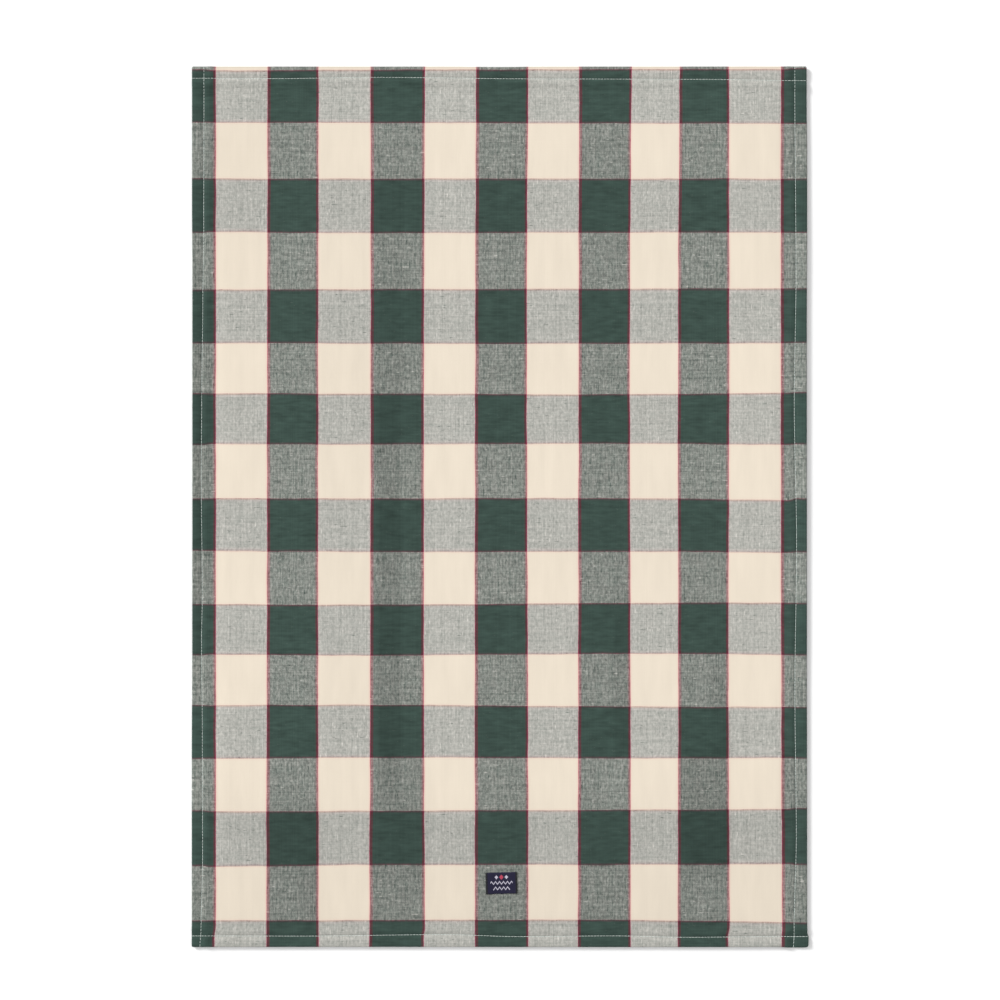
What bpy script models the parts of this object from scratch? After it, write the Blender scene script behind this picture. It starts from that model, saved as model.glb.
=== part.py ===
"""A checked tea towel, laid out flat and face up on a level surface.

Units are metres, +Z is up, +X runs across the towel and +Y along it. The origin is
under the middle of the towel, on the surface that it lies on. The label is at the -Y end.
"""
import bmesh
import bpy
import numpy as np

# The towel, finished and hemmed.
TOWEL_WIDTH = 0.4915
TOWEL_LENGTH = 0.7044
CORNER_RADIUS = 0.0018
EDGE_WANDER = 0.00015  # how far a sewn side strays from a straight line
LONG_SIDE_BOW = {"turns": 1.5, "phase": 1.0}
SHORT_SIDE_BOW = {"turns": 1.3, "phase": 2.0}
CORNER_DROP = 0.0005  # how far the corner at +X, -Y pulls out of square
CORNER_FADE = 12  # the higher, the closer to its corner the drop stays

# One layer, and what the double-turned hem adds to it.
CLOTH_THICKNESS = 0.0010
HEM_RISE = 0.0009  # two more layers, pressed together
HEM_WIDTH = 0.0102
HEM_SLOPE = 0.0016  # over which the hem's inner edge falls to the field
STITCH_INSET = 0.0085
STITCH_DEPTH = 0.0003
STITCH_CHANNEL = 0.0014  # width that the seam pulls in
FOLD_ROUNDING = 0.0006  # of the folded edge, above and below
# The folded edge in section, going down: its inset, and its share of the hem's height.
EDGE_SECTION = [(0.0, 0.70), (0.0, 0.30), (FOLD_ROUNDING, 0.0)]

# The grid that carries the field's slight unevenness.
FIELD_PITCH_X = 0.022
FIELD_PITCH_Y = 0.026
FIELD_WAVE_HEIGHT = 0.00005
# Two soft waves, in radians for each metre along X and along Y.
FIELD_WAVES = [
    {"along_x": 31.0, "along_y": 9.0, "phase": 0.0},
    {"along_x": -14.0, "along_y": 23.0, "phase": 1.6},
]

# Soft creases left by pressing. They run along Y; a negative rise is a trough.
CREASES = [
    {"x": -0.1180, "y_low": 0.005, "y_high": 0.130, "width": 0.010, "rise": 0.00030},
    {"x": -0.0880, "y_low": -0.235, "y_high": 0.086, "width": 0.016, "rise": -0.00025},
    {"x": 0.0443, "y_low": 0.005, "y_high": 0.218, "width": 0.008, "rise": 0.00025},
    {"x": 0.0963, "y_low": -0.203, "y_high": -0.034, "width": 0.012, "rise": -0.00025},
    {"x": 0.1219, "y_low": -0.075, "y_high": -0.034, "width": 0.010, "rise": 0.00020},
]
CREASE_FADE = 0.030  # over which a crease dies away at each end

# The woven label, with its two short ends folded under.
LABEL_WIDTH = 0.0252
LABEL_HEIGHT = 0.0171
LABEL_CENTRE = (0.0014, -0.3012)
LABEL_TURN = np.radians(1.5)
LABEL_LAYER = 0.00045
LABEL_TAB = 0.0055
LABEL_GAP = 0.00034  # between the label and the cloth, at least 0.3 mm everywhere

SMOOTH_UP_TO = np.radians(35)  # sharper edges than this keep their crease in shading

# The yarns' colours, mixed as each piece shows them from a distance.
CLOTH_COLOUR = (0.36, 0.35, 0.31, 1.0)
LABEL_COLOUR = (0.012, 0.011, 0.035, 1.0)


def clear_scene():
    for thing in list(bpy.data.objects):
        bpy.data.objects.remove(thing, do_unlink=True)


def make_material(name, colour, roughness):
    material = bpy.data.materials.new(name)
    material.use_nodes = True
    shader = material.node_tree.nodes["Principled BSDF"]
    shader.inputs["Base Color"].default_value = colour
    shader.inputs["Roughness"].default_value = roughness
    shader.inputs["Metallic"].default_value = 0.0
    return material


def add_object(name, shape, material):
    bmesh.ops.recalc_face_normals(shape, faces=shape.faces)
    mesh = bpy.data.meshes.new(name)
    shape.to_mesh(mesh)
    shape.free()
    mesh.shade_smooth()
    mesh.set_sharp_from_angle(angle=SMOOTH_UP_TO)
    mesh.materials.append(material)
    thing = bpy.data.objects.new(name, mesh)
    bpy.context.scene.collection.objects.link(thing)
    return thing


def smooth_step(value):
    value = np.clip(value, 0.0, 1.0)
    return value * value * (3.0 - 2.0 * value)


def hem_stations():
    """Distances from a finished side at which the hem's section has a corner."""
    half_channel = STITCH_CHANNEL / 2
    return [
        FOLD_ROUNDING,
        (FOLD_ROUNDING + CORNER_RADIUS) / 2,
        CORNER_RADIUS,
        STITCH_INSET - half_channel,
        STITCH_INSET,
        STITCH_INSET + half_channel,
        HEM_WIDTH,
        HEM_WIDTH + HEM_SLOPE,
    ]


def grid_lines(side, pitch, extra=()):
    """Where the grid's lines cross one side of the towel, from one hem to the other."""
    insets = np.array(hem_stations())
    inner = side / 2 - insets[-1]
    field = np.linspace(-inner, inner, int(np.ceil(2 * inner / pitch)) + 1)
    apart = [x for x in field[1:-1] if all(abs(x - e) > pitch / 3 for e in extra)]
    return np.sort(np.concatenate([insets - side / 2, apart, extra, side / 2 - insets]))


def hem_height(inset):
    """What the turned cloth adds at a distance from a finished side."""
    band = 1.0 - smooth_step((inset - HEM_WIDTH) / HEM_SLOPE)
    channel = np.clip(1.0 - abs(inset - STITCH_INSET) / (STITCH_CHANNEL / 2), 0.0, 1.0)
    return HEM_RISE * band - STITCH_DEPTH * channel


def crease_height(x, y):
    height = 0.0
    for crease in CREASES:
        across = np.exp(-(((x - crease["x"]) / (crease["width"] / 2)) ** 2))
        start = smooth_step((y - crease["y_low"]) / CREASE_FADE + 0.5)
        end = smooth_step((crease["y_high"] - y) / CREASE_FADE + 0.5)
        height += crease["rise"] * across * start * end
    return height


def wave_height(x, y):
    turns = [w["along_x"] * x + w["along_y"] * y + w["phase"] for w in FIELD_WAVES]
    return FIELD_WAVE_HEIGHT * sum(np.sin(turns))


def face_height(x, y):
    inset_x = TOWEL_WIDTH / 2 - abs(x)
    inset_y = TOWEL_LENGTH / 2 - abs(y)
    hems = hem_height(inset_x) + hem_height(inset_y)
    inner = smooth_step((min(inset_x, inset_y) - HEM_WIDTH) / HEM_WIDTH)
    return CLOTH_THICKNESS + hems + inner * (crease_height(x, y) + wave_height(x, y))


def bow(along, sides_bow):
    return EDGE_WANDER * np.sin(2 * np.pi * sides_bow["turns"] * along + sides_bow["phase"])


def outline_shift(x, y):
    """How far the sewn outline strays from a true rectangle at this place."""
    along_x, along_y = x / TOWEL_WIDTH, y / TOWEL_LENGTH
    shift_x = bow(along_y, LONG_SIDE_BOW) * 2 * along_x
    shift_y = bow(along_x, SHORT_SIDE_BOW) * 2 * along_y
    near_corner = np.clip((0.5 + along_x) * (0.5 - along_y), 0, 1) ** CORNER_FADE
    return shift_x + CORNER_DROP * near_corner, shift_y - CORNER_DROP * near_corner


def rounded(x, y, inset):
    """A place on the outline, drawn in by inset and rounded at the towel's corners."""
    core_x = np.clip(x, CORNER_RADIUS - TOWEL_WIDTH / 2, TOWEL_WIDTH / 2 - CORNER_RADIUS)
    core_y = np.clip(y, CORNER_RADIUS - TOWEL_LENGTH / 2, TOWEL_LENGTH / 2 - CORNER_RADIUS)
    out = np.array([x - core_x, y - core_y])
    out *= (CORNER_RADIUS - inset) / max(np.hypot(*out), 1e-9)
    return core_x + out[0], core_y + out[1]


def settled(x, y, z):
    shift_x, shift_y = outline_shift(x, y)
    return x + shift_x, y + shift_y, z


def rim_steps(last_column, last_row):
    """The grid's outermost (column, row) pairs, once round, counter-clockwise from above."""
    south = [(i, 0) for i in range(last_column)]
    east = [(last_column, j) for j in range(last_row)]
    north = [(i, last_row) for i in range(last_column, 0, -1)]
    west = [(0, j) for j in range(last_row, 0, -1)]
    return south + east + north + west


def make_towel(material):
    """The face as a grid, then the folded edge in rings down to a flat underside."""
    columns = grid_lines(TOWEL_WIDTH, FIELD_PITCH_X, [c["x"] for c in CREASES])
    rows = grid_lines(TOWEL_LENGTH, FIELD_PITCH_Y)
    rim = rim_steps(len(columns) - 1, len(rows) - 1)
    shape = bmesh.new()
    grid = {}
    for i, x in enumerate(columns):
        for j, y in enumerate(rows):
            place = rounded(x, y, FOLD_ROUNDING) if (i, j) in rim else (x, y)
            grid[i, j] = shape.verts.new(settled(*place, face_height(x, y)))
    for i in range(len(columns) - 1):
        for j in range(len(rows) - 1):
            steps = ((i, j), (i + 1, j), (i + 1, j + 1), (i, j + 1))
            shape.faces.new([grid[step] for step in steps])
    ring = [grid[step] for step in rim]
    for inset, share in EDGE_SECTION:
        lower = []
        for i, j in rim:
            x, y = columns[i], rows[j]
            height = share * face_height(x, y)
            lower.append(shape.verts.new(settled(*rounded(x, y, inset), height)))
        for k in range(len(rim)):
            shape.faces.new((ring[k - 1], lower[k - 1], lower[k], ring[k]))
        ring = lower
    shape.faces.new(reversed(ring))
    return add_object("towel_cloth", shape, material)


def make_label(material):
    """A shallow bridge in section: one layer across, with a tab turned under each end."""
    half, tab = LABEL_WIDTH / 2, LABEL_TAB
    low, high = LABEL_LAYER, 2 * LABEL_LAYER
    section = [(-half, 0), (tab - half, 0), (tab - half, low), (half - tab, low)]
    section += [(half - tab, 0), (half, 0), (half, high), (-half, high)]
    shape = bmesh.new()
    verts = [shape.verts.new((x, -LABEL_HEIGHT / 2, z)) for x, z in section]
    side = shape.faces.new(verts)
    made = bmesh.ops.extrude_face_region(shape, geom=[side])["geom"]
    moved = [item for item in made if isinstance(item, bmesh.types.BMVert)]
    bmesh.ops.translate(shape, vec=(0, LABEL_HEIGHT, 0), verts=moved)
    label = add_object("woven_label", shape, material)
    label.location = (*LABEL_CENTRE, face_height(*LABEL_CENTRE) + LABEL_GAP)
    label.rotation_euler = (0, 0, LABEL_TURN)
    return label


def centre_on_origin(towel, things):
    """Moves everything so that the towel's own box is centred over the origin."""
    places = np.array([vert.co for vert in towel.data.vertices])
    middle = (places.min(axis=0) + places.max(axis=0)) / 2
    for thing in things:
        thing.location.x -= middle[0]
        thing.location.y -= middle[1]


def main():
    clear_scene()
    towel = make_towel(make_material("checked cloth", CLOTH_COLOUR, 0.9))
    label = make_label(make_material("navy label weave", LABEL_COLOUR, 0.7))
    centre_on_origin(towel, [towel, label])


main()
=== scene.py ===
from functools import partial

import bpy
import numpy as np
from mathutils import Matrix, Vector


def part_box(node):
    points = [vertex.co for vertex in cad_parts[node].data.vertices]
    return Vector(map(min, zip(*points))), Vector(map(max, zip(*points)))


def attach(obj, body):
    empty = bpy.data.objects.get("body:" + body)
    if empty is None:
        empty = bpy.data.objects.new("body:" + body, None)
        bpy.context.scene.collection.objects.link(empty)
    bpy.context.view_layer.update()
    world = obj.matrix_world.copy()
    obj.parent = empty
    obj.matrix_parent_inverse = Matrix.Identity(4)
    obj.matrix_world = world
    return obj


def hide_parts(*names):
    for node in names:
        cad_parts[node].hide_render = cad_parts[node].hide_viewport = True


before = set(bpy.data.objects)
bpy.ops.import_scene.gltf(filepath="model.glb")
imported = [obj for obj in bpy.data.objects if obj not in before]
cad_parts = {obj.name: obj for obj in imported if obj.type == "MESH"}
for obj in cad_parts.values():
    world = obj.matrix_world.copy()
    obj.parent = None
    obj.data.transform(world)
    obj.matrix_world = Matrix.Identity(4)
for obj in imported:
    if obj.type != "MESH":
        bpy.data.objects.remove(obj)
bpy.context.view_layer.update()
scene = bpy.context.scene
print("frame loaded")


def smoothStep(value):
    value = np.clip(value, 0.0, 1.0)
    return value * value * (3.0 - 2.0 * value)


def between(a, b, share):
    return a + (b - a) * share


# A soft curve through (place, value) pairs
def throughPoints(points, place):
    places, values = (np.array(column, dtype=float) for column in zip(*sorted(points)))
    before = np.clip(np.searchsorted(places, place) - 1, 0, len(places) - 2)
    share = (place - places[before]) / (places[before + 1] - places[before])
    return between(values[before], values[before + 1], smoothStep(share))


def addObject(name, data):
    thing = bpy.data.objects.new(name, data)
    scene.collection.objects.link(thing)
    return thing


def addPiece(name, mesh, material=None):
    mesh.shade_smooth()
    if material:
        mesh.materials.append(material)
    return addObject(name, mesh)


# The towel: its cut, its hems and how it lies. Lengths are in metres unless a note says mm.
towel = {
    "width": 0.4921,
    "length": 0.7044,
    "middle": (0.00021, -0.00014),  # the solid's origin, from this rectangle's middle
    "layer": 0.00050,
    "hemAllowance": 0.018,  # cloth that each hem takes
    "hemRoom": 0.0005,  # kept between the raw edge and the outer fold, where a hem is narrow
    "pastSeam": 0.0014,  # hem inside the seam
    "hemSlope": 0.0080,  # over which the face drops from hem to field
    "spareReach": 0.6,  # share of the hem over which the outer fold's spare cloth is spread
    "meanSeam": 0.0088,  # inset of the seams, where the rows' places are worked out
    "gridSeam": 0.0095,  # the same, where the field's lines are counted
    "fieldPitch": 0.0037,
    "cornerPress": 0.40,  # nine layers pressed to this share
    "cornerRadius": 0.0009,
    "earRadius": 0.0021,  # of the corner that pokes out, at +X, -Y
    "outFade": 0.014,  # how far in from a side its bows reach
    "grooveHalf": 0.0009,
    "grooveDepth": 0.00020,
    "pressHalf": 0.0036,  # the seam also flattens the hem on both sides of it
    "pressDepth": 0.00040,
    "offTable": 0.00020,  # room for the thread underneath
    "wavesFrom": 0.008,  # how far in from a side the soft waves begin
    "wavesFade": 0.022,  # over which they reach their height
    "creaseFade": 0.03,  # over which a crease dies away at each end
}

# Seam insets from the folded edge, as (place along the side, inset), all in mm
seamInsets = {
    "left": [(333, 9.5), (218, 9.3), (165, 8.5), (84, 7.6), (26, 7.2), (-70, 8.1), (-108, 7.5),
             (-185, 8.3), (-281, 8.5), (-339, 7.3), (-352, 6.5)],
    "right": [(333, 9.7), (180, 8.8), (84, 10.2), (-31, 8.3), (-147, 9.7), (-262, 8.6), (-339, 10.4),
              (-352, 11.0)],
    "top": [(-235, 9.4), (-177, 9.6), (-101, 8.6), (48, 9.9), (160, 10.2), (245, 11.3)],
    "bottom": [(-235, 8.8), (-158, 8.6), (-43, 9.8), (15, 8.2), (92, 8.8), (149, 7.7), (245, 8.5)],
}
# How far each side bows out of the plain rectangle, as (place, shift), all in mm
sideBows = {
    "left": [(352, 0.1), (240, 0.1), (190, -0.2), (0, -0.2), (-100, -0.1), (-200, 0.3), (-352, 0.3)],
    "right": [(352, -0.5), (325, -0.4), (280, 0.0), (220, 0.0), (150, -0.3), (-100, -0.2), (-310, 0.0),
              (-341, 0.1), (-344, 1.15), (-352, 1.05)],
    "top": [(-245, 0.05), (-40, 0.0), (0, -0.35), (35, 0.0), (245, 0.10)],
    "bottom": [(-245, 0.10), (-100, -0.05), (100, 0.10), (220, 0.10), (236, 0.55), (246, 0.50)],
}
# How far each folded edge curls up outside its seam, as (place, lift), all in mm
edgeLifts = {
    "left": [(352, 0.10), (230, 0.40), (120, 0.65), (0, 0.70), (-90, 0.45), (-150, 0.0), (-352, 0.0)],
    "right": [(352, 0.35), (290, 0.50), (180, 0.80), (0, 0.75), (-90, 0.65), (-160, 0.45), (-330, 0.42),
              (-344, 0.10), (-352, 0.0)],
    "top": [(-245, 0.05), (0, 0.15), (245, 0.10)],
    "bottom": [(-245, 0.50), (40, 0.52), (195, 0.55), (222, 0.42), (238, 0.08), (245, 0.0)],
}
# Low waves left in the pressed cloth: waves per metre along X and Y, height in mm, phase in turns
softWaves = [
    {"alongX": 4.1, "alongY": 1.2, "height": 0.12, "phase": 0.10},
    {"alongX": -2.3, "alongY": 3.4, "height": 0.12, "phase": 0.45},
    {"alongX": 7.4, "alongY": -2.9, "height": 0.05, "phase": 0.80},
    {"alongX": 1.1, "alongY": 8.3, "height": 0.05, "phase": 0.25},
]
# Creases along Y, in metres, as in the solid: a negative rise is a trough
creases = [
    {"x": -0.1180, "yLow": 0.005, "yHigh": 0.130, "width": 0.010, "rise": 0.00018},
    {"x": -0.0880, "yLow": -0.235, "yHigh": 0.086, "width": 0.016, "rise": -0.00012},
    {"x": 0.0443, "yLow": 0.005, "yHigh": 0.218, "width": 0.008, "rise": 0.00014},
    {"x": 0.0963, "yLow": -0.203, "yHigh": -0.034, "width": 0.012, "rise": -0.00012},
    {"x": 0.1219, "yLow": -0.075, "yHigh": -0.034, "width": 0.010, "rise": 0.00012},
]


def sideValue(table, side, place):
    return throughPoints(table[side], np.asarray(place) * 1000) / 1000


# Each side, with how far in from it a place lies and where along it
def sideInsets(x, y):
    halfX, halfY = towel["width"] / 2, towel["length"] / 2
    return [("left", x + halfX, y), ("right", halfX - x, y), ("bottom", y + halfY, x), ("top", halfY - y, x)]


# Layers of cloth at a place, counted smoothly, across and along
def layersAt(x, y):
    across, down = 1.0, 1.0
    for side, inset, along in sideInsets(x, y):
        hem = sideValue(seamInsets, side, along) + towel["pastSeam"]
        band = 1.0 - smoothStep((inset - hem) / towel["hemSlope"])
        if side in ("left", "right"):
            across = across + 2.0 * band
        else:
            down = down + 2.0 * band
    return across, down


def seamGroove(x, y):
    groove, press = 0.0, 0.0
    for side, inset, along in sideInsets(x, y):
        off = inset - sideValue(seamInsets, side, along)
        groove = groove + np.exp(-2.0 * (off / towel["grooveHalf"]) ** 2)
        press = press + np.exp(-2.0 * (off / towel["pressHalf"]) ** 2)
    return towel["grooveDepth"] * np.minimum(groove, 1.0) + towel["pressDepth"] * np.minimum(press, 1.0)


def stackHeight(x, y):
    across, down = layersAt(x, y)
    flat = towel["layer"] * across * down
    spare = np.maximum(flat - 3 * towel["layer"], 0.0) / (6 * towel["layer"])
    return flat * (1.0 - (1.0 - towel["cornerPress"]) * spare) - seamGroove(x, y)


# How far the stack stands off the table
def liftAt(x, y):
    waves = sum(w["height"] for w in softWaves) / 1000
    for w in softWaves:
        turns = w["alongX"] * x + w["alongY"] * y + w["phase"]
        waves = waves + w["height"] / 1000 * np.sin(2 * np.pi * turns)
    for c in creases:
        across = np.exp(-(((x - c["x"]) / (c["width"] / 2)) ** 2))
        start = smoothStep((y - c["yLow"]) / towel["creaseFade"] + 0.5)
        end = smoothStep((c["yHigh"] - y) / towel["creaseFade"] + 0.5)
        waves = waves + c["rise"] * across * (start * end)
    inner, curl = 1.0, 0.0
    for side, inset, along in sideInsets(x, y):
        inner = np.minimum(inner, smoothStep((inset - towel["wavesFrom"]) / towel["wavesFade"]))
        reach = np.clip(1.0 - inset / sideValue(seamInsets, side, along), 0.0, 1.0)
        curl = curl + sideValue(edgeLifts, side, along) * reach
    return towel["offTable"] + np.maximum(waves, 0.0) * inner + curl


middleX, middleY = towel["middle"]


# Where a place on the true rectangle ends up: rounded corners and bowed sides
def onTable(x, y):
    r = np.where((x > 0) & (y < 0), towel["earRadius"], towel["cornerRadius"])
    outX = np.clip((np.abs(x) - (towel["width"] / 2 - r)) / r, 0.0, 1.0)
    outY = np.clip((np.abs(y) - (towel["length"] / 2 - r)) / r, 0.0, 1.0)
    pull = np.maximum(outX, outY) / np.maximum(np.hypot(outX, outY), 1e-9)
    pull = np.where((outX > 0) & (outY > 0), pull, 1.0)
    x = x - np.sign(x) * outX * (1.0 - pull) * r
    y = y - np.sign(y) * outY * (1.0 - pull) * r
    bows = {}
    for side, inset, along in sideInsets(x, y):
        bows[side] = sideValue(sideBows, side, along) * smoothStep(1.0 - inset / towel["outFade"])
    return x + (bows["right"] - bows["left"]) - middleX, y + (bows["top"] - bows["bottom"]) - middleY


# One folded side in section. Gives the inset from the folded edge, the height below the face,
# the outward normal and the inset measured along the flat cloth.
def foldedSection(zone, share, seam, stack):
    outer, inner = 1.5 * stack, stack  # radii of the outer fold and of the one inside the hem
    hem, groove = seam + towel["pastSeam"], towel["grooveHalf"]
    zero, turn = np.zeros_like(stack), np.pi * share
    if zone == "turnedIn":
        foldStart = -hem - np.pi * inner / 2
        room = 2 * hem + (np.pi / 2 - 1) * inner - outer - towel["hemRoom"]  # a narrow hem takes less cloth
        flat = between(-np.minimum(towel["hemAllowance"], room), foldStart, share)
        return (hem - inner) - (foldStart - flat), -stack, zero, zero + 1, flat
    if zone == "innerFold":
        flat = -hem + (share - 0.5) * np.pi * inner
        return (hem - inner + inner * np.sin(turn), -2 * stack + inner * np.cos(turn),
                zero + np.sin(turn), zero + np.cos(turn), flat)
    if zone == "backStrip":
        flat = between(-hem + np.pi * inner / 2, -np.pi * outer / 2, share)
        return between(hem - inner, outer, share), -3 * stack, zero, zero - 1, flat
    if zone == "outerFold":
        flat = (share - 0.5) * np.pi * outer
        return (outer - outer * np.sin(turn), -1.5 * stack - outer * np.cos(turn),
                zero - np.sin(turn), zero - np.cos(turn), flat)
    low, high = {"band": (outer, seam - groove), "seam": (seam - groove, seam + groove),
                 "lip": (seam + groove, hem), "slope": (hem, hem + towel["hemSlope"])}[zone]
    inset = between(low, high, share)
    spread = 1 - smoothStep((inset - outer) / (towel["spareReach"] * hem))
    return inset, zero, zero, zero + 1, inset + (np.pi / 2 - 1) * outer * spread


# A hem's zones from the raw edge to the field, and the grid lines in each
hemZones = {
    "turnedIn": (0.0, 0.5), "innerFold": np.arange(5) / 4, "backStrip": (0.25, 0.5, 0.75),
    "outerFold": np.arange(7) / 6, "band": (0.12, 0.3, 0.5, 0.75), "seam": np.arange(5) / 4,
    "lip": (0.5,), "slope": np.arange(5) / 5,
}
hemSteps = [(zone, share) for zone, shares in hemZones.items() for share in shares]


# All grid lines along one side, with -1 and 1 for its two hems and 0 for the field
def gridSteps(side):
    inner = towel[side] - 2 * (towel["gridSeam"] + towel["pastSeam"] + towel["hemSlope"])
    count = int(round(inner / towel["fieldPitch"]))
    field = [("field", k / count, 0) for k in range(count + 1)]
    return [(z, s, -1) for z, s in hemSteps] + field + [(z, s, 1) for z, s in reversed(hemSteps)]


# Every grid line's section on one axis, for both sides' hems at once
def axisSections(steps, side, lowSeam, highSeam, stack):
    half = towel[side] / 2
    columns = []
    for zone, share, end in steps:
        if zone == "field":
            low = -half + lowSeam + towel["pastSeam"] + towel["hemSlope"]
            high = half - highSeam - towel["pastSeam"] - towel["hemSlope"]
            place = between(low, high, share)
            zero = 0 * place
            columns.append((place, zero, zero, zero + 1, place))
        else:
            seam = lowSeam if end < 0 else highSeam
            inset, height, outInset, outHeight, flat = foldedSection(zone, share, seam, stack)
            columns.append((end * (half - inset), height, -end * outInset, outHeight, end * (half - flat)))
    return [np.array(part) for part in zip(*columns)]


# The cloth's two skins as (columns, rows) arrays, with each point's place on the flat cut
def foldCloth():
    columnSteps, rowSteps = gridSteps("width"), gridSteps("length")
    layer, halfX, halfY = towel["layer"], towel["width"] / 2, towel["length"] / 2
    meanSeam = np.array([towel["meanSeam"]])
    flatRows = axisSections(rowSteps, "length", meanSeam, meanSeam, np.array([layer]))[4][:, 0]
    flatRows = np.clip(flatRows, -halfY, halfY)
    leftSeam, rightSeam = (sideValue(seamInsets, s, flatRows) for s in ("left", "right"))
    foldX, height, outX, outZ, flatX = axisSections(columnSteps, "width", leftSeam, rightSeam,
                                                    np.full_like(flatRows, layer))
    skins = []
    for depth in (0.0, layer):
        x = foldX - outX * depth
        slab = height - outZ * depth
        across = layersAt(x, 0 * x)[0]
        clipped = np.clip(x, -halfX, halfX)
        bottomSeam, topSeam = (sideValue(seamInsets, s, clipped) for s in ("bottom", "top"))
        y, z, flatY = (np.empty_like(x) for _ in range(3))
        for j, step in enumerate(rowSteps):
            stack = layer * across[:, j]
            sections = axisSections([step], "length", bottomSeam[:, j], topSeam[:, j], stack)
            place, fall, outY, up, flat = (part[0] for part in sections)
            y[:, j] = place + outY * slab[:, j]
            z[:, j] = fall + up * slab[:, j]
            flatY[:, j] = flat
        total = layer * np.prod(np.array(layersAt(x, y)), axis=0)
        z = np.maximum(stackHeight(x, y) * (1.0 + z / total), 0.0) + liftAt(x, y)
        skins.append(np.stack([*onTable(x, y), z], axis=-1))
    return skins, flatX, flatY


# Where each colour changes, in mm on the finished towel, and how far that line tilts, bows and
# weaves from one end to the other
warpChanges = [
    (-227.8, 0.0, 0.0, 0.0), (-185.4, 0.5, 0.0, 0.0), (-145.9, 0.0, 0.5, 0.0), (-102.7, 0.5, -0.5, 0.0),
    (-61.1, 0.0, 1.0, 0.0), (-18.8, 0.5, 0.5, 0.0), (21.6, 0.0, 1.0, -0.5), (63.9, 0.5, 0.0, 0.0),
    (104.0, 0.5, 1.0, -0.5), (143.7, 1.0, 0.5, -0.5), (182.8, -0.5, 0.5, 0.5), (226.1, -0.5, 0.5, 0.0),
]
weftChanges = [
    (-331.4, -1.0, -1.5, 0.5), (-286.5, 1.5, -0.5, -0.5), (-243.3, 1.0, 0.0, 0.0), (-200.9, 0.5, -0.5, -0.5),
    (-159.6, -0.5, -0.5, -0.5), (-118.1, -0.5, 0.0, 1.0), (-78.0, 0.5, 0.5, 0.5), (-35.8, -1.0, 0.0, 0.5),
    (6.1, -1.0, -1.0, 0.5), (50.4, -0.5, -0.5, 0.5), (90.1, 0.5, 1.0, -0.5), (130.8, 0.0, 0.5, 0.0),
    (173.9, 0.5, 0.0, 0.0), (219.7, -0.5, 0.5, 0.5), (262.2, 0.0, 0.0, 0.0), (307.3, -0.5, 0.0, 0.0),
    (349.1, 0.5, -0.5, 0.0),
]
# The lines that jog most where they run into the hems at their low and high ends, in mm
hemJogs = {
    "warp": ({0: -1.0, 4: -1.0, 10: -1.5, 11: -0.5}, {}),
    "weft": ({1: 1.0, 2: 1.0, 4: 0.5, 5: -1.0, 9: -1.0, 10: 0.5, 13: -1.0, 14: 0.5},
             {1: -1.0, 2: 1.0, 3: -0.5, 4: -0.5, 7: 0.5, 8: 2.0, 9: 0.5, 10: 0.5}),
}
# How far the middle of each red line lies on the green side of its change, in mm
redLean = {"warp": 0.26, "weft": 0.50}
stripes = {
    "wide": 42.0,  # mm, of the stripes beyond the first and last change
    "shapedTo": 1.04,  # how far past the sides tilts and bows go on, as a share of the half length
    "jogFrom": 0.0155,  # metres in from a side
    "jogFade": 0.0075,
    "wobble": 0.12,  # mm, in three waves from shortest to longest
    "shortest": 60.0,
    "longest": 160.0,
    "phases": (0, 6.3),
    "seed": 7,
}


# Counts colour stripes across the cloth, so that whole numbers fall on the changes
def stripeCount(place, along, kind, changes, halfLength, dice):
    t = np.clip(along / halfLength, -stripes["shapedTo"], stripes["shapedTo"])
    inHem = smoothStep((np.abs(along) - halfLength + stripes["jogFrom"]) / stripes["jogFade"])
    lines = []
    for k, (at, tilt, bow, wave) in enumerate(changes):
        lean = redLean[kind] if k % 2 else -redLean[kind]
        line = at + lean + tilt * t + bow * (t ** 2 - 1 / 3) + wave * np.sin(np.pi * t)
        lowJog, highJog = (jogs.get(k, 0.0) for jogs in hemJogs[kind])
        line = line + inHem * np.where(along < 0, lowJog, highJog)
        for _ in range(3):
            length = dice.uniform(stripes["shortest"], stripes["longest"])
            turn = 2 * np.pi * along * 1000 / length + dice.uniform(*stripes["phases"])
            line = line + stripes["wobble"] / 2 * np.sin(turn)
        lines.append(line)
    lines = np.array([lines[0] - stripes["wide"]] + lines + [lines[-1] + stripes["wide"]])
    count = np.zeros_like(place)
    for k in range(len(lines) - 1):
        share = (place * 1000 - lines[k]) / (lines[k + 1] - lines[k])
        count += np.clip(share, 0 if k else -np.inf, 1 if k < len(lines) - 2 else np.inf)
    return count


# Patches where the colour is darker or lighter, as (x, y, reach along X, reach along Y, change of
# tone), in mm: denser or thinner cloth, painted shade at the bottom end, and painted shade and light on the
# hem strips
toneAndPaintedShadePatches = [
    (-88, -70, 9, 165, -0.17), (-86, 180, 9, 90, -0.08), (165, -245, 20, 48, -0.15),
    (98, -140, 7, 60, -0.11), (92, -222, 10, 22, 0.08), (-166, -264, 22, 22, -0.11),
    (-152, -308, 10, 22, -0.09), (-166, 40, 22, 260, 0.05), (165, 160, 20, 180, 0.04),
    (0, 330, 250, 24, 0.05), (178, -160, 8, 40, -0.09), (-75, -250, 20, 60, -0.05),
    # (0, -300) is painted shade, darker towards the bottom; the rest lie on the hem strips: painted shade
    # where a strip tilts from the lamp, painted light where it tilts towards it
    (0, -300, 260, 60, -0.04), (-243, 50, 6, 170, -0.05), (-243, -240, 5, 110, 0.07),
    (-232, -220, 8, 130, 0.10), (-232, 195, 8, 25, 0.07), (242, 70, 6, 150, 0.06),
    (232, 300, 8, 40, -0.06), (232, -222, 8, 30, -0.08),
]
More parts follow.
